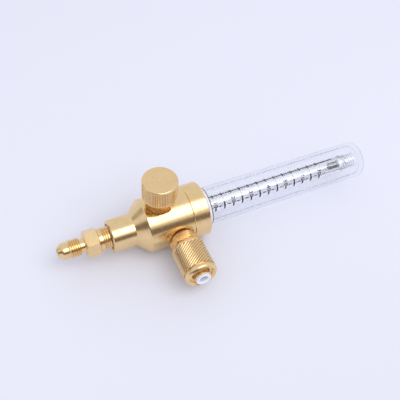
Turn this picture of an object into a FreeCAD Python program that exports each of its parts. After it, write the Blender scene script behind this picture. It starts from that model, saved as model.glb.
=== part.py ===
"""Purge flowmeter: brass valve body, swivel inlet, flare outlet, needle valve and a clear flow tube.

Frame: millimetres. The origin is the middle of the outlet's flare thread, on the body's axis.
+X runs along the body's axis to the closed end of the clear cover, +Z is the knob's axis, up,
and the inlet coupling points along -Y.
"""
import FreeCAD, Part
import math
import os
from collections import namedtuple

Vector = FreeCAD.Vector

# ---- Clearances ---------------------------------------------------------------------------
thread_gap = 0.05        # radial, between the two halves of a made-up thread
press_gap = 0.02         # radial, round a piece that is pressed or squeezed into its seat
run_gap = 0.08           # radial, between a shaft and the bore that it turns in
free_gap = 0.3           # between moving pieces that don't guide each other

# ---- Outlet fitting, from its nose to the body ------------------------------------------------
flare_thread_d = 11.1    # 7/16-20 UNF
flare_thread_len = 6.6
flare_lead = 1.0         # off the diameter, the 45 degree lead on the thread's first turn
flare_groove_d = 9.4
flare_groove_len = 0.8
nose_d = 10.3
nose_len = 6.0
nose_tip_d = 6.0
nose_cone_len = 3.2
nose_round = 2.0
neck_d = 8.6
neck_len = 3.0
hex_flats = 15.0
hex_chamfer = 0.3        # off the flats' width, where the 30 degree chamfer starts
outlet_hex_len = 8.4
outlet_hex_turn = 47.5   # degrees, where the hexagon stops when the fitting is tight
shoulder_len = 2.4
pipe_thread_d = 13.7     # 1/4 NPT
pipe_thread_show = 4.7   # thread left in sight between the shoulder and the boss
pipe_thread_grip = 9.0
outlet_bore_d = 4.8

# ---- Valve body -------------------------------------------------------------------------------
boss_d = 20.0
boss_len = 14.4
boss_mouth_d = 16.0
boss_mouth_depth = 1.5
body_d = 34.0
edge_chamfer = 0.6
valve_offset = 10.3      # from the cone's end to the valve's axis
inlet_offset = 8.25      # from the valve's axis to the inlet's axis
seam_offset = 9.15       # from the inlet's axis to the collar
spotface_depth = 0.6
spotface_d = 18.2
duct_d = 4.0             # gas way from the inlet to the flow tube
return_duct_d = 2.0      # gas way from the cover back to the valve

# ---- Cover tube and collar --------------------------------------------------------------------
cover_d = 23.6
cover_wall = 2.5
cover_end_wall = 2.8
cover_end_round = 3.4
flange_thick = 2.4
collar_wall = 2.7        # from the collar's outside to the spigot's thread
flange_slip = 0.3        # radial, between the flange and the collar's thread
spigot_len = 6.0
collar_len = 10.5
collar_slip = 0.2        # radial, between the collar's lip and the cover
cover_ring_wire = 1.8
flange_lift = 0.2        # the squeezed O-ring holds the flange this far off the spigot

# ---- Flow tube, float and spring --------------------------------------------------------------
flow_tube_d = 10.6
flow_tube_length = 110.0
flow_bore_low_d = 5.0
flow_bore_high_d = 6.2
flow_seat_depth = 4.5
flow_gasket_thick = 0.6
hub_wall = 1.35
moat_depth = 2.5
float_d = 4.4
float_length = 6.6
float_chamfer = 0.5
float_waist_d = 3.6
float_waist_len = 1.0
stop_length = 2.5
stop_hole_d = 1.8
float_top_gap = 0.5      # between the float and the upper stop
cap_wall = 1.0
cap_grip = 3.0
cap_top = 1.2
cap_hole_d = 3.0
spring_d = 9.0
spring_wire = 0.7
spring_turns = 5
spring_room = 8.4        # between the cap and the inside of the closed end

# ---- Needle valve and knob --------------------------------------------------------------------
gland_hex_len = 5.6
gland_hex_turn = -2.0
gland_thread_d = 12.0
gland_thread_len = 3.9
gland_hole_depth = 4.5
gasket_thick = 0.6
gasket_d = 14.6
stem_d = 5.0
stem_thread_d = 6.0
stem_collar_d = 6.0
stem_collar_len = 2.2
stem_stop_gap = 0.25     # between the raised stem's collar and the gland
lift = 2.25              # three turns of a 0.75 mm thread
chamber_d = 6.8
chamber_sump = 1.5       # depth of the chamber below the return duct
seat_d = 5.2
seat_thick = 2.6
seat_hole_d = 2.2
seat_sink_d = 3.8
seat_sink_depth = 0.8
needle_reach = 2.2       # how far the closed needle's tip is below the seat's top
needle_tip_d = 0.8
needle_cone_len = 2.6
needle_d = 3.0
needle_neck_d = 2.0
needle_head_d = 3.4
needle_head_len = 1.2
swivel_gap = 0.2         # end play of the needle in the stem
stem_ring_wire = 1.2
stem_ring_rise = 2.2     # from the gland's lower end to its O-ring
knob_d = 21.0
knob_height = 13.4
knob_gap = 2.7           # between the closed knob and the gland
knob_chamfer = 0.7
knob_cap = 3.4
knob_recess_d = 15.0
knob_recess_depth = 2.0
knob_hub_d = 10.0
set_screw_d = 3.0
set_screw_inset = 2.5    # from the knob's outside to the screw's outer end
set_screw_key = 1.5
set_screw_socket = 1.8
set_screw_height = 6.2   # above the knob's underside

# ---- Inlet nipple and swivel coupling ---------------------------------------------------------
nipple_thread_d = 10.0
nipple_thread_len = 7.4
nipple_hole_depth = 8.4
nipple_hex_len = 5.8
nipple_hex_turn = 12.0
shank_d = 8.6
head_d = 10.0
head_len = 6.0
nipple_length = 29.9     # from the hexagon's back to the end of the head
nipple_bore_d = 4.0
insert_d = 9.0
insert_lip = 1.5
insert_stem_d = 6.8
insert_stem_len = 4.0
insert_hole_d = 5.2
insert_dish = 0.4
filter_thick = 2.0
coupling_d = 20.1
coupling_length = 23.3
coupling_mouth_d = 13.8
coupling_thread_d = 11.2  # 7/16-20 UNF
coupling_rear_bore = 9.8  # length of the narrow bore behind the shoulder
coupling_relief_d = 11.9
coupling_relief_len = 3.4
coupling_chamfer = 1.6
coupling_groove_d = 18.2
coupling_groove_len = 1.3
coupling_front_ring = 3.0  # from the groove to the coupling's front end
coupling_back_ring = 1.4
retainer_thick = 1.2
retainer_gap_deg = 24.0

# ---- Stations along the three axes, worked out from the sizes above ---------------------------
thread_end_x = flare_thread_len / 2
hex_core_d = hex_flats - 2 * hex_chamfer
outlet_hex_x = thread_end_x + neck_len
shoulder_x = outlet_hex_x + outlet_hex_len
pipe_thread_x = shoulder_x + shoulder_len
boss_x = pipe_thread_x + pipe_thread_show
cone_x = boss_x + boss_len
cylinder_x = cone_x + (body_d - boss_d) / 2
valve_x = cylinder_x + valve_offset
inlet_x = valve_x + inlet_offset
collar_x = inlet_x + seam_offset
spigot_end_x = collar_x + spigot_len
flange_x = spigot_end_x + flange_lift
flow_seat_x = spigot_end_x - flow_seat_depth
flow_tube_x = flow_seat_x + flow_gasket_thick
flow_tube_end_x = flow_tube_x + flow_tube_length
cover_end_x = flow_tube_end_x + cap_top + spring_room + cover_end_wall
float_top_x = flow_tube_end_x - stop_length - float_top_gap

spigot_d = body_d - 2 * collar_wall
flange_d = spigot_d - 2 * flange_slip
seat_bore_d = flow_tube_d + 2 * press_gap
hub_d = seat_bore_d + 2 * hub_wall
moat_d = hub_d + 2 * return_duct_d
cover_ring_d = (moat_d + spigot_d) / 2
return_duct_z = (hub_d + return_duct_d) / 2
chamber_floor = return_duct_z - return_duct_d / 2 - chamber_sump
needle_tip_z = chamber_floor - needle_reach

gland_seat_z = body_d / 2 - spotface_depth
gland_hex_z = gland_seat_z + gasket_thick
gland_top_z = gland_hex_z + gland_hex_len
gland_bottom_z = gland_hex_z - gland_thread_len
gland_step_z = gland_hex_z - press_gap
stem_ring_z = gland_bottom_z + stem_ring_rise
stem_bottom = gland_bottom_z - stem_stop_gap - lift - stem_collar_len
knob_bottom = gland_top_z + knob_gap

nipple_seat_y = body_d / 2 - spotface_depth
nipple_hex_y = nipple_seat_y + gasket_thick
shank_y = nipple_hex_y + nipple_hex_len
nipple_end_y = nipple_hex_y + nipple_length
head_y = nipple_end_y - head_len
insert_end_y = nipple_end_y + insert_lip
coupling_y = shank_y + free_gap
coupling_end_y = coupling_y + coupling_length
retainer_y = coupling_y + coupling_rear_bore + run_gap

# ---- Axes and shape helpers -------------------------------------------------------------------
Axis = namedtuple("Axis", "base along out")
BODY = Axis(Vector(0, 0, 0), Vector(1, 0, 0), Vector(0, 0, 1))
VALVE = Axis(Vector(valve_x, 0, 0), Vector(0, 0, 1), Vector(1, 0, 0))
INLET = Axis(Vector(inlet_x, 0, 0), Vector(0, -1, 0), Vector(1, 0, 0))
SCREW = Axis(Vector(valve_x, 0, knob_bottom + set_screw_height), Vector(0, 1, 0), Vector(1, 0, 0))


def spot(axis, along, radius=0.0):
    """A point at a distance along an axis and a radius out from it."""
    return axis.base + axis.along * along + axis.out * radius


def rod(axis, start, end, diameter):
    """A plain cylinder on an axis."""
    return Part.makeCylinder(diameter / 2, end - start, spot(axis, start), axis.along)


def washer(axis, start, end, outside, inside):
    """A flat ring on an axis."""
    return rod(axis, start, end, outside).cut(rod(axis, start, end, inside))


def rounded_corner(before, corner, after, radius):
    """The tangent points and the middle of an arc that rounds a corner."""
    to_before = (before - corner).normalize()
    to_after = (after - corner).normalize()
    half = to_before.getAngle(to_after) / 2
    reach = radius / math.tan(half)
    bisector = (to_before + to_after).normalize()
    middle = corner + bisector * (radius / math.sin(half) - radius)
    return corner + to_before * reach, middle, corner + to_after * reach


def turned(axis, *outline):
    """A solid of revolution. Each corner is (along, diameter) or (along, diameter, rounding)."""
    corners = [spot(axis, c[0], c[1] / 2) for c in outline]
    edges = []
    count = len(corners)
    runs = []
    for i in range(count):
        radius = outline[i][2] if len(outline[i]) == 3 else 0
        if radius:
            near = rounded_corner(corners[i - 1], corners[i], corners[(i + 1) % count], radius)
            edges.append(Part.Arc(*near).toShape())
            runs.append((near[0], near[2]))
        else:
            runs.append((corners[i], corners[i]))
    for i in range(count):
        leave, arrive = runs[i][1], runs[(i + 1) % count][0]
        if leave.distanceToPoint(arrive) > 1e-6:
            edges.append(Part.LineSegment(leave, arrive).toShape())
    face = Part.Face(Part.Wire(Part.__sortEdges__(edges)))
    return face.revolve(axis.base, axis.along, 360)


def torus(axis, along, middle_d, wire_d):
    """An O-ring, a torus round an axis."""
    return Part.makeTorus(middle_d / 2, wire_d / 2, spot(axis, along), axis.along)


def hexagonal_bar(axis, start, end, flats, turn):
    """A plain hexagonal bar on an axis, with its first corner turned by an angle in degrees."""
    first = FreeCAD.Rotation(axis.along, turn).multVec(axis.out * (flats / math.sqrt(3)))
    points = []
    for i in range(7):
        points.append(spot(axis, start) + FreeCAD.Rotation(axis.along, 60 * i).multVec(first))
    return Part.Face(Part.makePolygon(points)).extrude(axis.along * (end - start))


def hexagon(axis, start, end, turn):
    """A spanner hexagon with both ends of its corners chamfered at 30 degrees."""
    prism = hexagonal_bar(axis, start, end, hex_flats, turn)
    outer = 2 * hex_flats / math.sqrt(3)
    inner = hex_flats - hex_chamfer
    slope = (outer - inner) / 2 * math.tan(math.radians(30))
    blank = turned(axis, (start, 0), (start, inner), (start + slope, outer),
                   (end - slope, outer), (end, inner), (end, 0))
    return prism.common(blank)


# ---- Body and outlet --------------------------------------------------------------------------
def valve_body():
    """Boss, 45 degree cone, cylinder and threaded spigot, with every hole and gas way."""
    body = turned(
        BODY,
        (boss_x, 0), (boss_x, boss_d - 2 * edge_chamfer), (boss_x + edge_chamfer, boss_d),
        (cone_x, boss_d), (cylinder_x, body_d - edge_chamfer, edge_chamfer),
        (collar_x - edge_chamfer / 2, body_d), (collar_x, body_d - edge_chamfer),
        (collar_x, spigot_d), (spigot_end_x, spigot_d), (spigot_end_x, 0))
    cuts = outlet_holes() + inlet_holes() + valve_holes() + tube_seat_holes()
    for hole in cuts:
        body = body.cut(hole)
    return body


def outlet_holes():
    """Mouth, threaded hole and gas way for the outlet fitting."""
    hole_end = boss_x + pipe_thread_grip + 1.0
    return [
        rod(BODY, boss_x, boss_x + boss_mouth_depth, boss_mouth_d),
        rod(BODY, boss_x, hole_end, pipe_thread_d + 2 * thread_gap),
        rod(BODY, hole_end, valve_x + seat_hole_d, outlet_bore_d)]


def inlet_holes():
    """Spotface, threaded hole and gas way for the inlet nipple."""
    return [
        rod(INLET, nipple_seat_y, body_d, spotface_d),
        rod(INLET, nipple_seat_y - nipple_hole_depth, body_d, nipple_thread_d + 2 * thread_gap),
        rod(INLET, 0, nipple_seat_y, duct_d),
        rod(BODY, inlet_x - duct_d / 2, flow_seat_x, duct_d)]


def valve_holes():
    """Spotface, gland thread, valve chamber, seat pocket and the hole under the seat."""
    return [
        rod(VALVE, gland_seat_z, body_d, spotface_d),
        rod(VALVE, gland_seat_z - gland_hole_depth, body_d, gland_thread_d + 2 * thread_gap),
        rod(VALVE, chamber_floor, gland_seat_z, chamber_d),
        rod(VALVE, chamber_floor - seat_thick, chamber_floor, seat_d + 2 * press_gap),
        rod(VALVE, 0, chamber_floor, seat_hole_d)]


def tube_seat_holes():
    """Flow tube's seat, the moat round it, the O-ring's groove and the return way to the valve."""
    groove_x = flange_x - cover_ring_wire - 2 * press_gap
    groove_half = cover_ring_wire / 2 + press_gap
    way = Axis(Vector(0, 0, return_duct_z), BODY.along, BODY.out)
    return [
        rod(BODY, flow_seat_x, spigot_end_x, seat_bore_d),
        washer(BODY, spigot_end_x - moat_depth, spigot_end_x, moat_d, hub_d),
        rod(way, valve_x, spigot_end_x - moat_depth / 2, return_duct_d),
        washer(BODY, groove_x, spigot_end_x,
               cover_ring_d + 2 * groove_half, cover_ring_d - 2 * groove_half)]


def outlet_fitting():
    """Rounded nose, groove, flare thread, neck, hexagon, shoulder and pipe thread, all in one."""
    nose_base_x = -thread_end_x - flare_groove_len
    nose_tip_x = nose_base_x - nose_len
    solid = turned(
        BODY,
        (nose_tip_x, 0), (nose_tip_x, nose_tip_d, 0.6), (nose_tip_x + nose_cone_len, nose_d, nose_round),
        (nose_base_x, nose_d), (nose_base_x, flare_groove_d), (-thread_end_x, flare_groove_d),
        (-thread_end_x, flare_thread_d - flare_lead), (-thread_end_x + flare_lead / 2, flare_thread_d),
        (thread_end_x, flare_thread_d), (thread_end_x, neck_d), (outlet_hex_x, neck_d),
        (outlet_hex_x, hex_core_d), (shoulder_x, hex_core_d), (shoulder_x, pipe_thread_d),
        (boss_x + pipe_thread_grip, pipe_thread_d), (boss_x + pipe_thread_grip, 0))
    solid = solid.fuse(hexagon(BODY, outlet_hex_x, shoulder_x, outlet_hex_turn)).removeSplitter()
    return solid.cut(rod(BODY, nose_tip_x, boss_x + pipe_thread_grip, outlet_bore_d))


# ---- Cover, flow tube and what is in it -----------------------------------------------------------
def tube_collar():
    """Ring nut that screws on the spigot and clamps the cover's flange with its lip."""
    end_x = collar_x + collar_len
    lip_x = flange_x + flange_thick + press_gap
    lip_d = cover_d + 2 * collar_slip
    inside_d = spigot_d + 2 * thread_gap
    return turned(
        BODY,
        (collar_x, inside_d), (collar_x, body_d - edge_chamfer), (collar_x + edge_chamfer / 2, body_d),
        (end_x - edge_chamfer, body_d), (end_x, body_d - 2 * edge_chamfer),
        (end_x, lip_d + edge_chamfer), (end_x - edge_chamfer / 2, lip_d), (lip_x, lip_d), (lip_x, inside_d))


def cover_tube():
    """Clear cover with a flange at its open end and a rounded closed end."""
    bore_d = cover_d - 2 * cover_wall
    inner_end_x = cover_end_x - cover_end_wall
    flange_end_x = flange_x + flange_thick
    return turned(
        BODY,
        (flange_x, bore_d), (flange_x, flange_d), (flange_end_x, flange_d), (flange_end_x, cover_d),
        (cover_end_x, cover_d, cover_end_round), (cover_end_x, 0),
        (inner_end_x, 0), (inner_end_x, bore_d, cover_end_round - cover_wall / 2))


def cover_ring():
    """O-ring in the spigot's end groove, against the cover's flange."""
    return torus(BODY, flange_x - cover_ring_wire / 2 - press_gap, cover_ring_d, cover_ring_wire)


def flow_tube():
    """Clear metering tube with a bore that widens upwards and a plain seat for each stop."""
    low_stop_x = flow_tube_x + stop_length
    high_stop_x = flow_tube_end_x - stop_length
    outside = rod(BODY, flow_tube_x, flow_tube_end_x, flow_tube_d)
    bore = turned(
        BODY,
        (flow_tube_x, 0), (flow_tube_x, flow_bore_low_d), (low_stop_x, flow_bore_low_d),
        (high_stop_x, flow_bore_high_d), (flow_tube_end_x, flow_bore_high_d), (flow_tube_end_x, 0))
    return outside.cut(bore)


def float_stop(start, bore_d):
    """Plug with a gas hole through it, pressed into an end of the flow tube."""
    return washer(BODY, start, start + stop_length, bore_d - 2 * press_gap, stop_hole_d)


def meter_float():
    """Short polished cylinder with a shallow waist and chamfered ends."""
    start = float_top_x - float_length
    waist_x = float_top_x - float_length / 2 - float_waist_len / 2
    waist_end_x = waist_x + float_waist_len
    edge_d = float_d - 2 * float_chamfer
    return turned(
        BODY,
        (start, 0), (start, edge_d), (start + float_chamfer, float_d), (waist_x, float_d),
        (waist_x, float_waist_d), (waist_end_x, float_waist_d), (waist_end_x, float_d),
        (float_top_x - float_chamfer, float_d), (float_top_x, edge_d), (float_top_x, 0))


def flow_tube_gasket():
    """Flat seal under the flow tube."""
    return washer(BODY, flow_seat_x, flow_tube_x, flow_tube_d, flow_bore_low_d)


def spring_cap():
    """Cap on the flow tube's end with a gas hole and a seat for the spring."""
    grip_x = flow_tube_end_x - cap_grip
    top_x = flow_tube_end_x + cap_top
    inside_d = flow_tube_d + 2 * press_gap
    outside_d = inside_d + 2 * cap_wall
    return turned(
        BODY,
        (grip_x, inside_d), (grip_x, outside_d), (top_x, outside_d, cap_wall / 2),
        (top_x, cap_hole_d), (flow_tube_end_x, cap_hole_d), (flow_tube_end_x, inside_d))


def tube_spring():
    """Compression spring between the cap and the closed end of the cover."""
    start = flow_tube_end_x + cap_top + spring_wire / 2
    end = cover_end_x - cover_end_wall - spring_wire / 2
    pitch = (end - start) / spring_turns
    helix = Part.makeHelix(pitch, end - start, (spring_d - spring_wire) / 2)
    helix.Placement = FreeCAD.Placement(Vector(start, 0, 0), FreeCAD.Rotation(Vector(0, 0, 1), BODY.along))
    first = helix.Edges[0]
    tangent = first.tangentAt(first.FirstParameter)
    section = Part.Wire(Part.makeCircle(spring_wire / 2, first.valueAt(first.FirstParameter), tangent))
    return Part.Wire(helix.Edges).makePipeShell([section], True, True)


# ---- Needle valve and knob ----------------------------------------------------------------------
def gland_gasket():
    """Flat seal between the gland nut and the body."""
    return washer(VALVE, gland_seat_z, gland_hex_z, gasket_d, gland_thread_d + 2 * thread_gap)


def gland_nut():
    """Hexagon gland: a guide bore and ring groove below, the stem's thread above."""
    shank = rod(VALVE, gland_bottom_z, gland_hex_z, gland_thread_d)
    nut = shank.fuse(hexagon(VALVE, gland_hex_z, gland_top_z, gland_hex_turn)).removeSplitter()
    nut = nut.cut(rod(VALVE, gland_bottom_z, gland_top_z, stem_d + 2 * run_gap))
    nut = nut.cut(rod(VALVE, gland_step_z, gland_top_z, stem_thread_d + 2 * run_gap))
    groove_d = stem_d + 2 * run_gap + 2 * stem_ring_wire
    half = stem_ring_wire / 2 + press_gap
    return nut.cut(rod(VALVE, stem_ring_z - half, stem_ring_z + half, groove_d))


def stem_ring():
    """O-ring in the gland's groove, round the stem."""
    wire = stem_ring_wire - press_gap
    return torus(VALVE, stem_ring_z, stem_d + 2 * run_gap + wire, wire)


def valve_stem():
    """Stem: pocket for the needle's head, stop collar, shaft, thread and knob seat."""
    collar_z = stem_bottom + stem_collar_len
    seat_z = knob_bottom + knob_recess_depth
    top_z = knob_bottom + knob_height - knob_cap - press_gap
    stem = turned(
        VALVE,
        (stem_bottom, 0), (stem_bottom, stem_collar_d), (collar_z, stem_collar_d), (collar_z, stem_d),
        (gland_hex_z + press_gap, stem_d), (gland_hex_z + press_gap, stem_thread_d),
        (seat_z - press_gap, stem_thread_d), (seat_z - press_gap, stem_d),
        (top_z, stem_d), (top_z, 0))
    head_z = needle_head_z()
    pocket = rod(VALVE, head_z - swivel_gap / 2, head_z + needle_head_len + swivel_gap / 2,
                 needle_head_d + 2 * run_gap)
    mouth = rod(VALVE, stem_bottom, head_z, needle_neck_d + 2 * run_gap)
    return stem.cut(pocket).cut(mouth)


def needle_head_z():
    """Height of the underside of the needle's head, inside the stem's collar."""
    return stem_bottom + stem_collar_len / 2 - needle_head_len / 4


def needle():
    """Swivelling needle: cone, shank, neck and the head that the stem holds."""
    head_z = needle_head_z()
    cone_z = needle_tip_z + needle_cone_len
    shank_z = stem_bottom - swivel_gap
    return turned(
        VALVE,
        (needle_tip_z, 0), (needle_tip_z, needle_tip_d), (cone_z, needle_d), (shank_z, needle_d),
        (shank_z, needle_neck_d), (head_z, needle_neck_d), (head_z, needle_head_d),
        (head_z + needle_head_len, needle_head_d), (head_z + needle_head_len, 0))


def valve_seat():
    """Seat pressed into the floor of the valve chamber, countersunk for the needle."""
    floor = chamber_floor - seat_thick
    return turned(
        VALVE,
        (floor, seat_hole_d), (floor, seat_d), (chamber_floor, seat_d),
        (chamber_floor, seat_sink_d), (chamber_floor - seat_sink_depth, seat_hole_d))


def set_screw_way(start, end, diameter):
    """A cylinder on the set screw's line, from one distance behind the stem to another."""
    return rod(SCREW, start, end, diameter)


def control_knob():
    """Round knob with chamfered edges, a recess and hub below, a blind bore and a screw hole."""
    top = knob_bottom + knob_height
    recess_z = knob_bottom + knob_recess_depth
    edge_d = knob_d - 2 * knob_chamfer
    knob = turned(
        VALVE,
        (knob_bottom, knob_hub_d), (recess_z, knob_hub_d), (recess_z, knob_recess_d),
        (knob_bottom, knob_recess_d), (knob_bottom, edge_d), (knob_bottom + knob_chamfer, knob_d),
        (top - knob_chamfer, knob_d), (top, edge_d), (top, 0), (top - knob_cap, 0),
        (top - knob_cap, stem_d + 2 * press_gap), (recess_z, stem_d + 2 * press_gap),
        (recess_z, stem_thread_d + 2 * press_gap), (knob_bottom, stem_thread_d + 2 * press_gap))
    return knob.cut(set_screw_way(0, knob_d, set_screw_d + 2 * press_gap).cut(
        rod(VALVE, knob_bottom, top, stem_d)))


def knob_set_screw():
    """Headless screw with a hexagon key socket."""
    start = stem_d / 2 + press_gap
    end = knob_d / 2 - set_screw_inset
    screw = set_screw_way(start, end, set_screw_d)
    floor = end - set_screw_socket
    return screw.cut(hexagonal_bar(SCREW, floor, end, set_screw_key, 0))


# ---- Inlet -----------------------------------------------------------------------------------
def nipple_gasket():
    """Flat seal between the nipple's hexagon and the body."""
    return washer(INLET, nipple_seat_y, nipple_hex_y, gasket_d, nipple_thread_d + 2 * thread_gap)


def inlet_nipple():
    """Thread, hexagon, shank and head, bored through, with a mouth for the seal insert."""
    start = nipple_hex_y - gasket_thick - nipple_thread_len
    solid = turned(
        INLET,
        (start, 0), (start, nipple_thread_d), (nipple_hex_y, nipple_thread_d),
        (nipple_hex_y, hex_core_d), (shank_y, hex_core_d), (shank_y, shank_d),
        (head_y, shank_d), (head_y, head_d), (nipple_end_y, head_d, 0.3), (nipple_end_y, 0))
    solid = solid.fuse(hexagon(INLET, nipple_hex_y, shank_y, nipple_hex_turn)).removeSplitter()
    mouth_y = nipple_end_y - insert_stem_len - filter_thick
    solid = solid.cut(rod(INLET, mouth_y, nipple_end_y, insert_stem_d + 2 * press_gap))
    return solid.cut(rod(INLET, start, nipple_end_y, nipple_bore_d))


def inlet_filter():
    """Sintered disc behind the seal insert."""
    back_y = nipple_end_y - insert_stem_len - filter_thick
    return rod(INLET, back_y, back_y + filter_thick, insert_stem_d)


def seal_insert():
    """Plastic seal: a lip in front of the nipple, a stem in its mouth and a dished hole."""
    stem_y = nipple_end_y - insert_stem_len
    return turned(
        INLET,
        (stem_y, insert_hole_d), (stem_y, insert_stem_d), (nipple_end_y, insert_stem_d),
        (nipple_end_y, insert_d), (insert_end_y, insert_d, 0.3),
        (insert_end_y, insert_d - 4 * insert_dish), (insert_end_y - insert_dish, insert_hole_d))


def coupling_nut():
    """Swivel nut: rear bore, shoulder, relief, thread wall, wide mouth and a groove outside."""
    relief_y = coupling_y + coupling_rear_bore
    thread_y = relief_y + coupling_relief_len
    mouth_y = coupling_end_y - (coupling_mouth_d - coupling_thread_d) / 2
    groove_y = coupling_end_y - coupling_front_ring - coupling_groove_len
    chamfer_d = coupling_d - 2 * coupling_chamfer
    nut = turned(
        INLET,
        (coupling_y, shank_d + 2 * free_gap), (coupling_y, chamfer_d),
        (coupling_y + coupling_chamfer, coupling_d), (groove_y, coupling_d),
        (groove_y, coupling_groove_d), (groove_y + coupling_groove_len, coupling_groove_d),
        (groove_y + coupling_groove_len, coupling_d), (coupling_end_y - coupling_chamfer, coupling_d),
        (coupling_end_y, chamfer_d), (coupling_end_y, coupling_mouth_d), (mouth_y, coupling_thread_d),
        (thread_y, coupling_thread_d), (thread_y, coupling_relief_d), (relief_y, coupling_relief_d),
        (relief_y, shank_d + 2 * free_gap))
    return nut


def coupling_retainer():
    """Open ring in the nut's relief. It meets the nipple's head when the nut is pulled forward."""
    ring = washer(INLET, retainer_y, retainer_y + retainer_thick,
                  coupling_relief_d - 2 * run_gap, shank_d + 2 * free_gap)
    half = math.radians(retainer_gap_deg / 2)
    reach = coupling_relief_d
    points = [spot(INLET, retainer_y)]
    for angle in (-half, half):
        way = INLET.out * math.cos(angle) + Vector(0, 0, 1) * math.sin(angle)
        points.append(spot(INLET, retainer_y) + way * reach)
    points.append(points[0])
    wedge = Part.Face(Part.makePolygon(points)).extrude(INLET.along * retainer_thick)
    return ring.cut(wedge)


# ---- Every sub-part ---------------------------------------------------------------------------
PARTS = {
    "valve_body": valve_body,
    "outlet_fitting": outlet_fitting,
    "tube_collar": tube_collar,
    "cover_tube": cover_tube,
    "cover_ring": cover_ring,
    "flow_tube": flow_tube,
    "flow_tube_gasket": flow_tube_gasket,
    "meter_float": meter_float,
    "lower_float_stop": lambda: float_stop(flow_tube_x, flow_bore_low_d),
    "upper_float_stop": lambda: float_stop(flow_tube_end_x - stop_length, flow_bore_high_d),
    "spring_cap": spring_cap,
    "tube_spring": tube_spring,
    "gland_nut": gland_nut,
    "gland_gasket": gland_gasket,
    "valve_stem": valve_stem,
    "stem_ring": stem_ring,
    "needle": needle,
    "valve_seat": valve_seat,
    "control_knob": control_knob,
    "knob_set_screw": knob_set_screw,
    "inlet_nipple": inlet_nipple,
    "nipple_gasket": nipple_gasket,
    "inlet_filter": inlet_filter,
    "seal_insert": seal_insert,
    "coupling_nut": coupling_nut,
    "coupling_retainer": coupling_retainer,
}

os.makedirs("parts", exist_ok=True)
for name, make in PARTS.items():
    shape = make()
    print(name, len(shape.Solids), round(shape.Volume, 1), shape.isValid())
    shape.exportStep("parts/" + name + ".step")
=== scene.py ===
"""Looks of a purge gas flowmeter: turned and knurled brass, clear tubes, a float and its scale.

Everything is in metres in the part's own frame; shapes are worked out in millimetres and scaled
when their mesh is made. The body's axis is X, the knob's axis is Z and the inlet points along -Y.
"""
import math
from collections import namedtuple
import bmesh
import bpy
import numpy as np
from mathutils import Matrix, Vector


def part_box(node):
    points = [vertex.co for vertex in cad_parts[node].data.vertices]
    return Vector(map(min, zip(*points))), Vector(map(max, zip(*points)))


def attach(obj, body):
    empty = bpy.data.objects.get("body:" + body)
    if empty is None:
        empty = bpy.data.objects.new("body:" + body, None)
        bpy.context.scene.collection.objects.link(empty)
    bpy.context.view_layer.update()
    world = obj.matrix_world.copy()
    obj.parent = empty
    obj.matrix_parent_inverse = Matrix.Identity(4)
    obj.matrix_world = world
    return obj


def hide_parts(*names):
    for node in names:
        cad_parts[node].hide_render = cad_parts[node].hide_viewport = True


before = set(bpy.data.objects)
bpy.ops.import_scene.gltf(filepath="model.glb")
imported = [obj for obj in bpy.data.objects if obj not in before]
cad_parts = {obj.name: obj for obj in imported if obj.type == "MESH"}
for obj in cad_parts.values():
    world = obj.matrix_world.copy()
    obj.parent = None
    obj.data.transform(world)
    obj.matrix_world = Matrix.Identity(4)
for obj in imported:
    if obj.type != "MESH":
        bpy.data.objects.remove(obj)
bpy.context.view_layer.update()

MM = 0.001
FULL_TURN = 2 * math.pi


# ---- Camera -----------------------------------------------------------------------------------
def aimed_camera():
    """A camera from three square directions: to the right, up and back along the view."""
    place = Vector((-42.42, -224.12, 331.04)) * MM
    forward = Vector((0.298, 0.544, -0.784)).normalized()
    right = forward.cross(Vector((0.288, 0.732, 0.618))).normalized()
    up = right.cross(forward)
    camera = bpy.data.objects.new("camera", bpy.data.cameras.new("camera"))
    bpy.context.scene.collection.objects.link(camera)
    turn = Matrix((right, up, -forward)).transposed().to_4x4()
    camera.matrix_world = Matrix.Translation(place) @ turn
    camera.data.sensor_width = 36.0
    camera.data.lens = 60.7
    camera.data.clip_start = 0.01
    bpy.context.scene.camera = camera


aimed_camera()


# ---- Axes, grids and outlines -----------------------------------------------------------------
SHARP = 32.0             # degrees between two faces whose shared edge stays sharp
POLE_MERGE = 1e-7        # metres within which points are one
ON_AXIS = 1e-9           # millimetres from the axis that count as on it
EDGE = 0.15              # millimetres by which a corner is rounded when it says nothing else
CORNER_SHARE = 0.45      # of a straight run, the most that a corner's rounding may take
CORNER_POINTS = 6
Axis = namedtuple("Axis", "base along out side")


def axis_on(base, along, out):
    """An axis through a point: its direction, the one that angles start from and the one they
    turn to."""
    along, out = np.array(along, float), np.array(out, float)
    return Axis(np.array(base, float), along, out, np.cross(along, out))


def ends(node):
    """Lowest and highest corners of a solid, in millimetres."""
    low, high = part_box(node)
    return np.array(low) / MM, np.array(high) / MM


VALVE_X = sum(corner[0] for corner in ends("control_knob")) / 2
INLET_X = sum(corner[0] for corner in ends("coupling_nut")) / 2
BODY = axis_on((0, 0, 0), (1, 0, 0), (0, 0, 1))
VALVE = axis_on((VALVE_X, 0, 0), (0, 0, 1), (1, 0, 0))
INLET = axis_on((INLET_X, 0, 0), (0, -1, 0), (1, 0, 0))


def piece(name, mesh, finish, body, node=None):
    """Links a mesh as a piece that rides on a body and may stand for a solid."""
    mesh.materials.clear()
    mesh.materials.append(finish)
    thing = bpy.data.objects.new(name, mesh)
    bpy.context.scene.collection.objects.link(thing)
    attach(thing, body)
    if node:
        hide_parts(node)
    return thing


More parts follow.
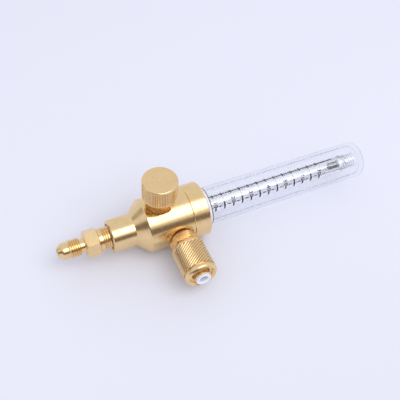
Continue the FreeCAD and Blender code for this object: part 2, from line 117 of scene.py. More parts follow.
def grid_mesh(name, points, loop=True, sharp=SHARP):
    """Quads on rows and columns of points in millimetres.

    The last column joins the first, and with loop the last row joins the first. Points that meet
    at a pole are merged, and faces are then turned outwards. Edges over the sharp angle stay so.
    """
    rows, columns = points.shape[:2]
    row = np.arange(rows if loop else rows - 1)[:, None]
    column = np.arange(columns)[None, :]
    after_row, after_column = (row + 1) % rows, (column + 1) % columns
    quads = np.stack([row * columns + column, row * columns + after_column,
                      after_row * columns + after_column, after_row * columns + column], -1)
    mesh = bpy.data.meshes.new(name)
    mesh.from_pydata((points.reshape(-1, 3) * MM).tolist(), [], quads.reshape(-1, 4).tolist())
    work = bmesh.new()
    work.from_mesh(mesh)
    bmesh.ops.remove_doubles(work, verts=work.verts, dist=POLE_MERGE)
    bmesh.ops.recalc_face_normals(work, faces=work.faces)
    work.to_mesh(mesh)
    work.free()
    mesh.shade_smooth()
    mesh.set_sharp_from_angle(angle=math.radians(sharp))
    return mesh


def outline(corners, step):
    """Points round a closed outline of (along, radius, rounding, step) corners, where the last two
    may be left out.

    Each corner is a quadratic curve, (1-t)^2 start + 2t(1-t) corner + t^2 end, that starts and
    ends its rounding's reach away, and points on the straight run after a corner are no further
    apart than its step.
    """
    count = len(corners)
    runs = []
    for i, corner in enumerate(corners):
        here = np.array(corner[:2], float)
        rounding = corner[2] if len(corner) > 2 else EDGE
        spacing = corner[3] if len(corner) > 3 else step
        before = np.array(corners[i - 1][:2], float) - here
        after = np.array(corners[(i + 1) % count][:2], float) - here
        if rounding == 0 or here[1] < ON_AXIS:
            runs.append((here[None, :], spacing))
            continue
        far_before, far_after = np.linalg.norm(before), np.linalg.norm(after)
        reach = min(rounding, CORNER_SHARE * far_before, CORNER_SHARE * far_after)
        start = here + before / far_before * reach
        end = here + after / far_after * reach
        t = np.linspace(0, 1, CORNER_POINTS)[:, None]
        runs.append(((1 - t) ** 2 * start + 2 * t * (1 - t) * here + t ** 2 * end, spacing))
    points = []
    for i, (curve, spacing) in enumerate(runs):
        points.append(curve)
        start, end = curve[-1], runs[(i + 1) % count][0][0]
        parts = max(1, math.ceil(np.linalg.norm(end - start) / spacing))
        t = np.linspace(0, 1, parts + 1)[1:-1, None]
        points.append(start + (end - start) * t)
    return np.concatenate(points).T


def turned_points(axis, along, radius, angle):
    """Points at a distance along an axis, a radius out from it and an angle round it."""
    out = np.cos(angle)[..., None] * axis.out + np.sin(angle)[..., None] * axis.side
    return axis.base + along[..., None] * axis.along + radius[..., None] * out


def turned_mesh(name, axis, corners, columns, first=0.0, step=2.0, detail=None, sharp=SHARP):
    """A closed outline carried round an axis: each of its points at columns angles from the first,
    in degrees. detail(along, radius, angle) gives the worked radius."""
    along, radius = outline(corners, step)
    angle = math.radians(first) + np.linspace(0, FULL_TURN, columns, endpoint=False)
    along, radius, angle = np.broadcast_arrays(along[:, None], radius[:, None], angle[None, :])
    if detail:
        radius = detail(along, radius, angle)
    return grid_mesh(name, turned_points(axis, along, radius, angle), sharp=sharp)


# ---- Worked surfaces --------------------------------------------------------------------------
TOUCH = 1e-6             # millimetres of slack where a worked stretch starts and ends


def zigzag(turns):
    """0 on each whole number and 1 half way between."""
    return 1 - np.abs(2 * (turns % 1) - 1)


def span(along, start, end, fade):
    """1 between start and end, falling to 0 over a distance inside each."""
    return np.clip(np.minimum(along - start, end - along) / fade, 0, 1)


def within(along, start, end):
    """True where a distance along lies between two others, both included."""
    return (along > start - TOUCH) & (along < end + TOUCH)


def helical_ridge(along, angle, start, pitch):
    """0 to 1: a zigzag of the distance along, less one pitch for each turn, its tops cut flat."""
    return np.clip(1.5 * zigzag((along - start) / pitch - angle / FULL_TURN), 0, 1)


def threaded(along, radius, angle, start, end, crest, depth, pitch):
    """The smaller of the blank's radius and a helical ridge's."""
    ridge = helical_ridge(along, angle, start, pitch)
    inside = within(along, start, end) & (radius > crest - depth - 0.1)
    return np.where(inside, np.minimum(radius, crest - depth * (1 - ridge)), radius)


def inner_threaded(along, radius, angle, start, end, root, depth, pitch):
    """A helical ridge inside a bore, faded in and out over half a pitch."""
    ridge = helical_ridge(along, angle, start, pitch)
    inside = (along > start) & (along < end) & (np.abs(radius - root) < 0.05)
    return np.where(inside, radius - depth * ridge * span(along, start, end, pitch / 2), radius)


def hexagonal(along, radius, angle, first, start, end):
    """The smaller of the blank's radius and a hexagon's, half the flats over the cosine of the
    angle from the middle of the nearest flat."""
    from_flat = (angle - math.radians(first)) % (FULL_TURN / 6) - FULL_TURN / 12
    flat = HEX_FLATS / 2 / np.cos(from_flat)
    return np.where(within(along, start, end), np.minimum(radius, flat), radius)


def groove_cut(turns, width):
    """A V groove at each whole number: 1 at its bottom and 0 beyond half its share of a turn."""
    return 1 - np.clip(zigzag(turns) / width, 0, 1)


def straight_knurl(along, radius, angle, start, end, teeth, depth, over):
    """Grooves along the axis, evenly round it, cut into the blank's outside."""
    cut = depth * groove_cut(angle / FULL_TURN * teeth, 0.7) * span(along, start, end, 0.25)
    return np.where(radius > over, radius - cut, radius)


def diamond_knurl(along, radius, angle, start, end, starts, lead, depths, over):
    """Two crossing sets of helical grooves, one deeper: each set has so many starts round the axis
    and comes back every lead along it, and the deeper cut wins."""
    round_it, down_it = angle / FULL_TURN * starts, along / lead
    cuts = [depth * groove_cut(round_it + hand * down_it, 0.75)
            for depth, hand in zip(depths, (1, -1))]
    cut = np.maximum(*cuts) * span(along, start, end, 0.3)
    return np.where(radius > over, radius - cut, radius)


# ---- Shader maths -----------------------------------------------------------------------------
class Value:
    """A shader socket on which sums are written as Python expressions."""

    def __init__(self, shader, socket):
        self.shader = shader
        self.socket = socket

    def maths(self, operation, *values):
        return self.shader.add("ShaderNodeMath", {"operation": operation}, dict(enumerate(values)))

    def __add__(self, other):
        return self.maths("ADD", self, other)

    def __mul__(self, other):
        return self.maths("MULTIPLY", self, other)

    def __sub__(self, other):
        return self.maths("SUBTRACT", self, other)

    def __rsub__(self, other):
        return self.maths("SUBTRACT", other, self)

    __radd__ = __add__
    __rmul__ = __mul__

    def ramp(self, low, high, start=0.0, end=1.0):
        """A smooth step from start to end as the value goes from low to high."""
        return self.shader.add(
            "ShaderNodeMapRange", {"interpolation_type": "SMOOTHSTEP", "clamp": True},
            {"Value": self, "From Min": low, "From Max": high, "To Min": start, "To Max": end})

    def between(self, start, end, fade):
        """1 between start and end, with a smooth step down to 0 inside each."""
        return self.ramp(start, start + fade) * self.ramp(end - fade, end, 1.0, 0.0)

    def larger(self, other):
        return self.maths("MAXIMUM", self, other)


class Shader:
    """One material or world and the nodes in it."""

    def __init__(self, owner):
        owner.use_nodes = True
        self.tree = owner.node_tree
        self.tree.nodes.clear()

    def add(self, kind, settings=None, values=None, result=0):
        """Adds a node: its settings first, then its sockets' values or links. Gives an output."""
        node = self.tree.nodes.new(kind)
        for key, value in (settings or {}).items():
            setattr(node, key, value)
        for key, value in (values or {}).items():
            socket = node.inputs[key]
            if isinstance(value, Value):
                self.tree.links.new(value.socket, socket)
            else:
                socket.default_value = value
        return Value(self, node.outputs[result]) if node.outputs else node

    def place(self):
        return self.add("ShaderNodeTexCoord", result="Object")

    def noise(self, where, scale, detail, rough):
        return self.add("ShaderNodeTexNoise", {"noise_dimensions": "3D"},
                        {"Vector": where, "Scale": scale, "Detail": detail, "Roughness": rough})

    def mix(self, factor, first, second):
        """Mixes two colours."""
        return self.add("ShaderNodeMix", {"data_type": "RGBA"},
                        {0: factor, 6: first, 7: second}, result=2)

    def mix_shaders(self, factor, first, second):
        return self.add("ShaderNodeMixShader", {}, {0: factor, 1: first, 2: second})

    def vector(self, operation, first, second=(0, 0, 0)):
        """Vector Math; the operations that give a number give it from their second output."""
        number = operation in ("DOT_PRODUCT", "LENGTH")
        return self.add("ShaderNodeVectorMath", {"operation": operation}, {0: first, 1: second},
                        result=1 if number else 0)

    def round_axis(self, axis):
        """Distance along an axis and radius from it, in metres."""
        out = self.vector("SUBTRACT", self.place(), tuple(axis.base * MM))
        across = self.vector("MULTIPLY", out, tuple(1 - np.abs(axis.along)))
        return self.vector("DOT_PRODUCT", out, tuple(axis.along)), self.vector("LENGTH", across)

    def bump(self, height, distance):
        return self.add("ShaderNodeBump", {},
                        {"Height": height, "Distance": distance, "Strength": 1.0})

    def principled(self, values):
        return self.add("ShaderNodeBsdfPrincipled", {}, values)

    def finish(self, surface):
        self.add("ShaderNodeOutputMaterial", {}, {"Surface": surface})


def material(name):
    made = bpy.data.materials.new(name)
    return made, Shader(made)


def colour(red, green, blue):
    return (red, green, blue, 1.0)


# ---- Finishes ---------------------------------------------------------------------------------
BRASS_TONE = colour(0.90, 0.68, 0.375)
BRASS_DULL = colour(0.84, 0.595, 0.29)
RINGS_PER_METRE = 1300.0
RING_DEPTH = 0.000025    # metres
COAT_IOR = 1.75


def brass(name, rough, axis, tone=BRASS_TONE, dull=BRASS_DULL, grooves=None, groove_shade=None):
    """Turned brass: fine rings round the axis that it was turned on, from a noise of the distance
    along it and of the radius, and slightly uneven polish. grooves gives, in millimetres, the
    radii of a knurl's bottom and crest and where it starts and ends; there a darker colour is
    painted in towards the grooves' bottom, as painted shade in the knurl."""
    made, shader = material(name)
    along, radius = shader.round_axis(axis)
    section = shader.add("ShaderNodeCombineXYZ", {},
                         {0: along * RINGS_PER_METRE, 1: radius * RINGS_PER_METRE})
    rings = shader.noise(section, 1.0, 5.0, 0.8)
    patches = shader.noise(shader.place(), 180.0, 4.0, 0.6)
    streaks = rings.ramp(0.3, 0.75)
    tarnish_and_groove_shade = shader.mix(patches.ramp(0.35, 0.75, 0.0, 0.6) + streaks * 0.6, tone, dull)
    # Painted shade: the knurl's grooves are painted darker towards their bottom.
    if grooves:
        low, high, start, end = (limit * MM for limit in grooves)
        inside = along.between(start, end, 0.2 * MM)
        knurled = radius.ramp(low - 0.15 * MM, low - 0.1 * MM) * inside
        tarnish_and_groove_shade = shader.mix(radius.ramp(low, high, 1.0, 0.0) * knurled, tarnish_and_groove_shade, groove_shade)
    shader.finish(shader.principled({
        "Base Color": tarnish_and_groove_shade, "Metallic": 1.0,
        "Roughness": patches.ramp(0.3, 0.8, rough * 0.8, rough * 1.2) + streaks * (rough * 0.7),
        "Normal": shader.bump(rings, RING_DEPTH)}))
    return made


def clear_plastic(name, tint, edge, rough, ior=1.5, gloss=0.0, shoulder=None):
    """Clear moulded plastic that lets lamps light what is behind it, with faint handling haze. It
    takes its edge tint where it is seen through its side. shoulder gives, in millimetres, where a
    frosted band round its outside starts and ends and where the painted shadow line after it ends:
    a dark ring painted as shade in the gap at the shoulder's foot."""
    made, shader = material(name)
    haze = shader.noise(shader.place(), 900.0, 3.0, 0.6)
    facing = shader.add("ShaderNodeLayerWeight", {}, {"Blend": 0.5}, result=1)
    shade = shader.mix(facing.ramp(0.3, 1.0), tint, edge)
    if shoulder:
        start, end, after = (limit * MM for limit in shoulder)
        along, radius = shader.round_axis(BODY)
        fade = 0.1 * MM
        outside = radius.ramp(COVER_SKIN * MM - fade, COVER_SKIN * MM)
        frost = outside * along.between(start, end, fade) * 0.7
        # A thin dark ring just past the shoulder: painted shade for the gap at the shoulder's foot.
        painted_shadow_line = outside * along.between(end - fade, after, fade)
    glass = shader.principled({
        "Base Color": shade, "Roughness": haze.ramp(0.3, 0.8, rough, rough * 1.5), "IOR": ior,
        "Transmission Weight": 1.0, "Coat Weight": gloss, "Coat IOR": COAT_IOR,
        "Coat Roughness": rough})
    if shoulder:
        # The frosted band is white; the ring after it takes the dark painted shade.
        paint = shader.mix(painted_shadow_line, colour(0.93, 0.93, 0.97), colour(0.10, 0.10, 0.13))
        band = shader.principled({"Base Color": paint, "Roughness": 0.6, "Specular IOR Level": 0.2})
        glass = shader.mix_shaders(frost.larger(painted_shadow_line * 0.85), glass, band)
    through = shader.add("ShaderNodeBsdfTransparent", {}, {"Color": tint})
    shadow, diffuse = (shader.add("ShaderNodeLightPath", result=key)
                       for key in ("Is Shadow Ray", "Is Diffuse Ray"))
    shader.finish(shader.mix_shaders(shadow.larger(diffuse), glass, through))
    return made


def plain(name, tone, rough, grain=0.00001, scale=1500.0, metal=0.0, vary=0.12, gloss=0.5):
    """A small moulded, ground or pressed piece: a fine grain in its height, tone and gloss."""
    made, shader = material(name)
    grains = shader.noise(shader.place(), scale, 3.0, 0.6)
    darker = colour(*(part * (1 - vary) for part in tone[:3]))
    shader.finish(shader.principled({
        "Base Color": shader.mix(grains.ramp(0.3, 0.7), darker, tone), "Metallic": metal,
        "Specular IOR Level": gloss,
        "Roughness": grains.ramp(0.3, 0.7, rough * 0.85, rough * 1.15),
        "Normal": shader.bump(grains, grain)}))
    return made


COVER_LIP = ends("tube_collar")[1][0] + 0.2      # where the cover's shoulder starts
COVER_SHOULDER = 2.5                             # its length
COVER_SKIN = 11.4                                # radius beyond which the cover's outside lies

turned_brass = brass("turned_brass", 0.17, BODY)
# Darker, more orange brass for the gland nut: painted shade under the knob.
gland_brass_painted_shade = brass(
    "gland_brass_painted_shade", 0.20, VALVE, colour(0.60, 0.35, 0.11), colour(0.50, 0.27, 0.08))
nipple_brass = brass(
    "nipple_brass", 0.20, INLET, colour(0.92, 0.73, 0.44), colour(0.88, 0.66, 0.37))
# The deep colours given below are painted shade in the knurls' grooves.
knob_brass = brass(
    "knob_brass", 0.22, VALVE, grooves=(10.1, 10.45, 27.4, 37.7), groove_shade=colour(0.42, 0.25, 0.09))
coupling_brass = brass(
    "coupling_brass", 0.22, INLET, grooves=(9.74, 10.02, 26.0, 42.3),
    groove_shade=colour(0.58, 0.39, 0.20))
clear_cover = clear_plastic(
    "clear_cover", colour(0.985, 0.99, 1.0), colour(0.86, 0.86, 0.91), 0.004, 1.05, 0.45,
    (COVER_LIP, COVER_LIP + COVER_SHOULDER, COVER_LIP + COVER_SHOULDER + 0.8))
clear_flow_tube = clear_plastic(
    "clear_flow_tube", colour(0.99, 0.99, 1.0), colour(0.92, 0.92, 0.96), 0.004, 1.3, 1.0)
clear_cap = clear_plastic(
    "clear_cap", colour(0.995, 0.995, 1.0), colour(0.95, 0.95, 0.98), 0.02, 1.02)
# Near-black steel for the float and needle: painted shade standing in for the float's dark
# reflections.
polished_steel = plain("polished_steel", colour(0.06, 0.06, 0.075), 0.10, 0.000001, 3000.0, 1.0)
spring_steel = plain("spring_steel", colour(0.88, 0.89, 0.93), 0.4, 0.000003, 2500.0, 1.0)
black_rubber = plain("black_rubber", colour(0.03, 0.03, 0.032), 0.5)
white_plastic = plain("white_plastic", colour(0.86, 0.88, 0.95), 0.35, 0.000006)
fibre = plain("fibre", colour(0.30, 0.10, 0.05), 0.7, 0.00004, 2500.0, 0.0, 0.3)
sintered_bronze = plain("sintered_bronze", colour(0.50, 0.34, 0.18), 0.5, 0.00012, 3500.0, 1.0, 0.4)
scale_ink = plain("scale_ink", colour(0.008, 0.008, 0.012), 0.6, 0.000004, gloss=0.0)

CARRIED_OVER = {
    turned_brass: ("valve_body", "tube_collar", "valve_stem"),
    black_rubber: ("cover_ring", "flow_tube_gasket", "stem_ring"),
    polished_steel: ("needle", "meter_float"),
    white_plastic: ("lower_float_stop", "upper_float_stop", "valve_seat"),
    clear_cap: ("spring_cap",),
    fibre: ("gland_gasket", "nipple_gasket"),
    sintered_bronze: ("inlet_filter",),
    spring_steel: ("knob_set_screw", "coupling_retainer"),
}


def finish_solids():
    """Gives each solid that no piece replaces its material."""
    for finish, nodes in CARRIED_OVER.items():
        for node in nodes:
            thing = bpy.data.objects[node]
            if not thing.material_slots:
                thing.data.materials.append(finish)
            for place in thing.material_slots:
                place.material = finish


finish_solids()

# ---- Outlet fitting ---------------------------------------------------------------------------
HEX_FLATS = 15.0
HEX_CORE = 7.05          # radius where the chamfers start
HEX_CORNER = HEX_FLATS / math.sqrt(3)
HEX_SLOPE = (HEX_CORNER - HEX_CORE) * math.tan(math.radians(30))
FLARE_R, FLARE_DEPTH, FLARE_PITCH = 5.55, 0.75, 1.27
PIPE_R, PIPE_DEPTH, PIPE_PITCH = 6.85, 0.7, 1.41


def hexagon_corners(start, end, fine=0.06):
    """The blank of a hexagon with both ends chamfered at 30 degrees."""
    return [(start, HEX_CORE, 0.05, fine), (start + HEX_SLOPE, HEX_CORNER, 0.0, 1.0),
            (end - HEX_SLOPE, HEX_CORNER, 0.0, fine), (end, HEX_CORE, 0.05)]


def outlet():
    """Rounded nose, groove, flare thread, neck, hexagon, shoulder and pipe thread."""
    low, high = ends("outlet_fitting")
    tip, back = low[0], high[0]
    bore, nose_tip, nose, groove, neck, undercut = 2.4, 2.75, 5.05, 4.7, 4.3, 6.5   # radii
    flare, groove_start = 3.3, -4.1       # the flare thread reaches as far on both sides of X = 0
    hex_start, hex_end, hex_turn = 6.3, 14.7, 47.5
    pipe_start, pipe_end = 17.1, 23.0
    corners = [
        (tip, nose_tip, 0.4), (tip + 3.0, nose, 0.8), (groove_start, nose), (groove_start, groove),
        (-flare, groove), (-flare, nose, 0.05), (-flare + 0.5, FLARE_R, 0.05, 0.1),
        (flare, FLARE_R, 0.05), (flare, neck, 0.4), (hex_start, neck, 0.3),
        *hexagon_corners(hex_start, hex_end), (hex_end, undercut, 0.1),
        (hex_end + 0.2, undercut, 0.1), (hex_end + 0.2, PIPE_R, 0.1),
        (pipe_start, PIPE_R, 0.05, 0.1), (pipe_end, PIPE_R, 0.05), (back, PIPE_R), (back, bore),
        (tip, bore, 0.5)]

    def worked(along, radius, angle):
        radius = threaded(along, radius, angle, -flare, flare, FLARE_R, FLARE_DEPTH, FLARE_PITCH)
        radius = threaded(along, radius, angle, pipe_start, pipe_end, PIPE_R, PIPE_DEPTH,
                          PIPE_PITCH)
        return hexagonal(along, radius, angle, hex_turn, hex_start, hex_end)

    mesh = turned_mesh("outlet_body", BODY, corners, 216, hex_turn, detail=worked)
    piece("outlet_body", mesh, turned_brass, "flowmeter", "outlet_fitting")


outlet()


# ---- Gland and knob ---------------------------------------------------------------------------
def gland():
    """Hexagon gland nut with a plain shank and a through hole."""
    low, high = ends("gland_nut")
    hex_z, top, hex_turn = 17.0, high[2], -2.0
    shank, stem_hole, gasket_hole = 6.0, 3.08, 2.6
    corners = [(low[2], gasket_hole), (low[2], shank, 0.4), (hex_z, shank),
               *hexagon_corners(hex_z, top), (top, stem_hole, 0.3), (hex_z, stem_hole, 0.05),
               (hex_z, gasket_hole, 0.05)]

    def worked(along, radius, angle):
        return hexagonal(along, radius, angle, hex_turn, hex_z, top)

    mesh = turned_mesh("gland_hexagon", VALVE, corners, 180, hex_turn, detail=worked)
    piece("gland_hexagon", mesh, gland_brass_painted_shade, "flowmeter", "gland_nut")


def with_hole(mesh, axis, radius, start, end):
    """The mesh with a round hole cut along an axis."""
    corners = [(start, 0), (start, radius, 0.0), (end, radius, 0.0), (end, 0)]
    drill = turned_mesh("drill", axis, corners, 32)
    whole, tool = (bpy.data.objects.new("cut", part) for part in (mesh, drill))
    for thing in (whole, tool):
        bpy.context.scene.collection.objects.link(thing)
    cut = whole.modifiers.new("hole", "BOOLEAN")
    cut.object = tool
    cut.solver = "EXACT"
    seen = whole.evaluated_get(bpy.context.evaluated_depsgraph_get())
    made = bpy.data.meshes.new_from_object(seen)
    for thing in (whole, tool):
        bpy.data.objects.remove(thing)
    made.set_sharp_from_angle(angle=math.radians(SHARP))
    return made


def knob():
    """Round knob with a straight knurl, a crowned chamfer, a recess and hub below, and the hole of
    its set screw."""
    low, high = ends("control_knob")
    bottom, top = low[2], high[2]
    radius, hub, recess, stem, counterbore = 10.5, 5.0, 7.5, 2.52, 3.02
    chamfer, ceiling, socket_top = 0.7, bottom + 2.0, top - 3.4
    corners = [
        (bottom, hub), (ceiling, hub), (ceiling, recess), (bottom, recess),
        (bottom, radius - chamfer, 0.2), (bottom + chamfer, radius, 0.2, 0.15),
        (bottom + 1.3, radius, 0.0), (top - 1.6, radius, 0.0, 0.15), (top - chamfer, radius, 0.2),
        (top, radius - chamfer, 0.25, 0.8), (top, 0), (socket_top, 0), (socket_top, stem),
        (ceiling, stem, 0.05), (ceiling, counterbore, 0.05), (bottom, counterbore, 0.3)]

    def worked(along, radius, angle):
        return straight_knurl(along, radius, angle, bottom + 0.6, top - 1.1, 66, 0.3, 10.3)

    mesh = turned_mesh("knurled_knob", VALVE, corners, 528, detail=worked, sharp=40)
    screw_low, screw_high = ends("knob_set_screw")
    screw = axis_on((VALVE_X, 0, (screw_low[2] + screw_high[2]) / 2), (0, 1, 0), (1, 0, 0))
    mesh = with_hole(mesh, screw, (screw_high[2] - screw_low[2]) / 2 + 0.02, 2.0, radius + 1.0)
    piece("knurled_knob", mesh, knob_brass, "stem", "control_knob")


gland()
knob()


# ---- Inlet ------------------------------------------------------------------------------------
def nipple():
    """Inlet nipple: a plain stretch where its thread is, hexagon, shank and head, with its mouth
    for the seal.
    """
    low, high = ends("inlet_nipple")
    start, end = -high[1], -low[1]
    hex_y, neck_y, hex_turn = 17.0, 22.8, 12.0
    head_y = end - 6.0
    head, neck, mouth, bore = 5.0, 4.3, 3.42, 2.0
    corners = [(start, bore), (start, head, 0.5), (hex_y, head), *hexagon_corners(hex_y, neck_y),
               (neck_y, neck, 0.4), (head_y, neck), (head_y, head), (end, head, 0.3),
               (end, mouth, 0.1), (head_y, mouth, 0.05), (head_y, bore)]

    def worked(along, radius, angle):
        return hexagonal(along, radius, angle, hex_turn, hex_y, neck_y)

    mesh = turned_mesh("inlet_stub", INLET, corners, 180, hex_turn, detail=worked)
    piece("inlet_stub", mesh, nipple_brass, "flowmeter", "inlet_nipple")


def seal():
    """White seal: a lip in front of the nipple, a stem in its mouth and a dished hole."""
    low, high = ends("seal_insert")
    start, end = -high[1], -low[1]
    lip = end - 1.5
    stem, brim, hole = 3.4, 4.5, 2.6
    corners = [(start, hole), (start, stem, 0.3), (lip, stem, 0.05), (lip, brim),
               (end, brim, 0.35), (end, 3.7, 0.3), (end - 0.4, hole, 0.3)]
    mesh = turned_mesh("white_seal", INLET, corners, 96, step=1.0)
    piece("white_seal", mesh, white_plastic, "flowmeter", "seal_insert")


def coupling():
    """Swivel nut: chamfered, knurled, with a polished shoulder at its front, a wide chamfered
    mouth and a thread inside."""
    low, high = ends("coupling_nut")
    start, end = -high[1], -low[1]
    radius, groove, shoulder = 10.05, 9.25, 9.9
    rear_bore, ring_groove, thread, mouth = 4.6, 5.95, 5.6, 6.95
    chamfer = 1.6
    knurl_start, knurl_end = start + 3.0, end - 4.2
    groove_start, groove_end, thread_end = start + 9.8, start + 13.2, end - 2.2
    corners = [
        (start, rear_bore, 0.3), (start, radius - chamfer, 0.3), (start + chamfer, radius, 0.3),
        (knurl_start, radius, 0.0, 0.18), (knurl_end, radius, 0.1), (knurl_end, groove, 0.1),
        (knurl_end + 1.0, groove, 0.1), (knurl_end + 1.0, shoulder, 0.3),
        (end - 1.4, shoulder, 0.9), (end, 8.5, 0.3), (end - 1.2, mouth, 0.15),
        (thread_end, mouth, 0.3), (thread_end, thread, 0.1, 0.18), (groove_end, thread, 0.1),
        (groove_end, ring_groove), (groove_start, ring_groove), (groove_start, rear_bore)]

    def worked(along, radius, angle):
        radius = inner_threaded(along, radius, angle, groove_end + 0.2, thread_end - 0.1, thread,
                                0.4, FLARE_PITCH)
        return diamond_knurl(along, radius, angle, knurl_start, knurl_end, 24, 1.6, (0.12, 0.45),
                             shoulder)

    mesh = turned_mesh("knurled_coupling", INLET, corners, 336, detail=worked, sharp=40)
    piece("knurled_coupling", mesh, coupling_brass, "coupling", "coupling_nut")


nipple()
seal()
coupling()


# ---- Cover, flow tube and spring --------------------------------------------------------------
def cover():
    """Clear cover with a flange at its open end, a low shoulder just outside the collar and a
    rounded closed end."""
    low, high = ends("cover_tube")
    start, end = low[0], high[0]
    outer, inner, flange, shoulder = 11.8, 9.3, high[2], 12.1
    flange_end, ceiling = start + 2.4, end - 2.8
    shoulder_end = COVER_LIP + COVER_SHOULDER
    corners = [
        (start, inner, 0.2), (start, flange, 0.2), (flange_end, flange, 0.2),
        (flange_end, outer, 0.1), (COVER_LIP, outer, 0.05), (COVER_LIP, shoulder, 0.1),
        (shoulder_end, shoulder, 0.1), (shoulder_end + 0.1, outer, 0.1),
        (shoulder_end + 0.8, outer, 0.1), (end, outer, 4.2), (end, 0), (ceiling, 0),
        (ceiling, inner, 2.6)]
    mesh = turned_mesh("clear_cover", BODY, corners, 192, step=4.0)
    piece("clear_cover", mesh, clear_cover, "flowmeter", "cover_tube")


def flow_tube():
    """Clear metering tube whose bore widens upwards."""
    low, high = ends("flow_tube")
    start, end = low[0], high[0] - 0.05     # just clear of the cap
    outer, low_bore, high_bore, plain_end = 5.3, 2.5, 3.1, 2.5
    corners = [(start, low_bore, 0.1), (start, outer, 0.3), (end, outer, 0.3),
               (end, high_bore, 0.1), (end - plain_end, high_bore, 0.0),
               (start + plain_end, low_bore, 0.0)]
    mesh = turned_mesh("metering_tube", BODY, corners, 128, step=4.0)
    piece("metering_tube", mesh, clear_flow_tube, "flowmeter", "flow_tube")


def spring():
    """Coil of round wire: a circle carried along a helix, shrunk to a point at both ends."""
    low, high = ends("tube_spring")
    wire, middle, turns = 0.35, 4.15, 5.0
    start, end = low[0] + wire, high[0] - wire
    t = np.linspace(0, 1, 261)[:, None]
    turn = t * turns * FULL_TURN
    along = start + (end - start) * t
    phi = np.linspace(0, FULL_TURN, 12, endpoint=False)[None, :]
    reach = wire * np.where((t == 0) | (t == 1), 0.0, 1.0)
    radius = middle + reach * np.cos(phi)
    points = turned_points(BODY, along + reach * np.sin(phi), radius, turn + 0 * phi)
    mesh = grid_mesh("cover_spring", points, loop=False)
    piece("cover_spring", mesh, spring_steel, "flowmeter", "tube_spring")


cover()
flow_tube()
spring()

# ---- Scale on the flow tube -------------------------------------------------------------------
MARK_R = 5.33            # the print's radius, just proud of the tube
FIRST_MARK = 89.3        # along the body's axis, where the lowest number is
MARK_PITCH = 6.2
MARKS = 13
LINE_TURN = -17.0        # degrees from +Z towards -Y


def strips(name, spans):
    """Thin raised strips of ink wrapped round the tube, one closed shell for each span.

    A span is (along, along, angle, angle). Each shell is a grid round the strip's section: up its
    outer face from one angle to the other and back down its inner face.
    """
    steps, rise, sink = 5, 0.03, 0.01
    span = np.array(spans)[:, :, None]
    turn = np.radians(span[:, 2] + (span[:, 3] - span[:, 2]) * np.linspace(0, 1, steps))
    low, high = span[:, 0] + 0 * turn, span[:, 1] + 0 * turn
    ring = [turned_points(BODY, along, 0 * turn + MARK_R + out, turn)
            for along, out in ((low, rise), (high, rise), (high, -sink), (low, -sink))]
    points = np.stack(ring, 1)
    count = len(spans)
    base = np.arange(count)[:, None, None] * 4 * steps
    side, step = np.arange(4)[None, :, None], np.arange(steps - 1)[None, None, :]
    after = (side + 1) % 4
    faces = np.stack([base + side * steps + step, base + after * steps + step,
                      base + after * steps + step + 1, base + side * steps + step + 1], -1)
    lids = [base[:, 0] + np.array([0, 1, 2, 3]) * steps,
            base[:, 0] + np.array([3, 2, 1, 0]) * steps + steps - 1]
    mesh = bpy.data.meshes.new(name)
    mesh.from_pydata((points.reshape(-1, 3) * MM).tolist(), [],
                     faces.reshape(-1, 4).tolist() + np.concatenate(lids).tolist())
    work = bmesh.new()
    work.from_mesh(mesh)
    bmesh.ops.recalc_face_normals(work, faces=work.faces)
    work.to_mesh(mesh)
    work.free()
    return mesh


def marks():
    """One plain line, a tick on it and one below it at each graduation, a dash between every two
    ticks, and a hairline from the line to each tick that has no number."""
    half_line, tick_from, tick_to = 4.5, LINE_TURN - 17, LINE_TURN + 15     # degrees
    spans = [(FIRST_MARK - 1.8, FIRST_MARK + 86.5, LINE_TURN - half_line, LINE_TURN + half_line)]
    for i in range(MARKS):
        x = FIRST_MARK + MARK_PITCH * i
        numbered = i % 2 == 0
        spans.append((x - 0.42, x + 0.42, tick_from, tick_to))
        spans.append((x - 0.5, x + 0.5, 73.0 if numbered else 43.0, 106.0))
        spans.append((x + 2.2, x + 4.1, 66.0, 71.0))
        if not numbered:
            spans.append((x - 0.08, x + 0.08, tick_to, 42.0))
    piece("scale_marks", strips("scale_marks", spans), scale_ink, "flowmeter")


def numbers():
    """Scale numbers: flat text made a mesh, then wrapped round the tube, their tops towards +X."""
    middle = math.radians(70.0)
    for i in range((MARKS + 1) // 2):
        text = bpy.data.curves.new("scale_number", "FONT")
        text.body = str(10 * (i + 1))
        text.size = 3.5
        text.align_x = "RIGHT"
        text.align_y = "CENTER"
        text.extrude = 0.02
        text.offset = 0.1
        text.space_character = 1.25
        made = bpy.data.objects.new("number_text", text)
        bpy.context.scene.collection.objects.link(made)
        flat = bpy.data.meshes.new_from_object(made)
        bpy.data.objects.remove(made)
        spots = np.zeros(len(flat.vertices) * 3)
        flat.vertices.foreach_get("co", spots)
        across, up, thick = spots.reshape(-1, 3).T
        points = turned_points(BODY, FIRST_MARK + 2 * MARK_PITCH * i + up, MARK_R + 0.01 + thick,
                               middle + across / MARK_R)
        flat.vertices.foreach_set("co", (points * MM).ravel())
        flat.update()
        piece("scale_number_%d" % (i + 1), flat, scale_ink, "flowmeter")


marks()
numbers()

# ---- Floor and light --------------------------------------------------------------------------
FLOOR_Z = -17.0 * MM


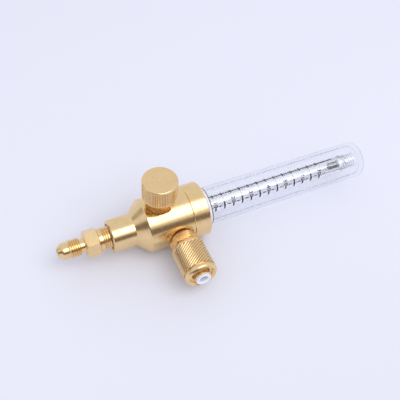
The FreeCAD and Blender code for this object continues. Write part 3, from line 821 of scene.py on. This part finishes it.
def floor():
    """A wide level floor just under the body, painted a little darker towards the front as painted
    shade.
    """
    made, shader = material("floor")
    # Painted shade: the floor's tone darkens towards the front.
    front = shader.vector("DOT_PRODUCT", shader.place(), (0.0, -1.0, 0.0)).ramp(-0.02, 0.22)
    tone = shader.mix(front, colour(0.78, 0.787, 0.875), colour(0.72, 0.727, 0.80))
    shader.finish(shader.add("ShaderNodeBsdfDiffuse", {}, {"Color": tone}))
    mesh = bpy.data.meshes.new("floor")
    half = 4.0
    mesh.from_pydata([(-half, -half, FLOOR_Z), (half, -half, FLOOR_Z), (half, half, FLOOR_Z),
                      (-half, half, FLOOR_Z)], [], [(0, 1, 2, 3)])
    mesh.materials.append(made)
    thing = bpy.data.objects.new("floor", mesh)
    bpy.context.scene.collection.objects.link(thing)


def softbox():
    """One large soft lamp over the part and a little in front."""
    lamp = bpy.data.lights.new("softbox", "AREA")
    lamp.shape = "RECTANGLE"
    lamp.size, lamp.size_y = 1.34, 0.96
    lamp.energy = 8.2
    distance = 1.5
    thing = bpy.data.objects.new("softbox", lamp)
    bpy.context.scene.collection.objects.link(thing)
    target = Vector((0.09, 0.0, 0.0))
    towards = Vector((0.18, -0.48, 1.0)).normalized()
    thing.location = target + towards * distance
    thing.rotation_euler = towards.to_track_quat("Z", "Y").to_euler()


def room():
    """A pale room. Metal sees a dark part of it low down in front and to the left, with one more
    dark stand at the back on the left."""
    made = bpy.data.worlds.new("room")
    bpy.context.scene.world = made
    shader = Shader(made)
    camera, glossy, through = (shader.add("ShaderNodeLightPath", result=key) for key in
                               ("Is Camera Ray", "Is Glossy Ray", "Is Transmission Ray"))
    way = shader.add("ShaderNodeTexCoord", result="Generated")
    forward, height, back_left = (shader.vector("DOT_PRODUCT", way, to) for to in (
        (-0.42, -0.906, 0), (0, -0.15, 1), (-0.798, 0.559, 0.225)))
    front = forward - 0.42
    foot = front.ramp(0.2, 0.36, 0.0, 0.18)
    top = front.maths("MINIMUM", front * 1.25 + 0.35, 0.79)
    under_top, over_foot = (top - height).ramp(-0.05, 0.05), (height - foot).ramp(-0.02, 0.12)
    stand = back_left.ramp(0.976, 0.992, 0.0, 0.65)
    dark = (forward.ramp(0.2, 0.42) * under_top * over_foot).larger(stand)
    seen = camera.larger(through)
    level = seen * 0.9 + (1 - seen) * 0.87
    shade = shader.mix(dark * glossy, colour(0.93, 0.94, 1.0), colour(0.22, 0.165, 0.15))
    back = shader.add("ShaderNodeBackground", {}, {"Color": shade, "Strength": level})
    shader.add("ShaderNodeOutputWorld", {}, {"Surface": back})


floor()
softbox()
room()
bpy.context.scene.view_settings.view_transform = "Standard"
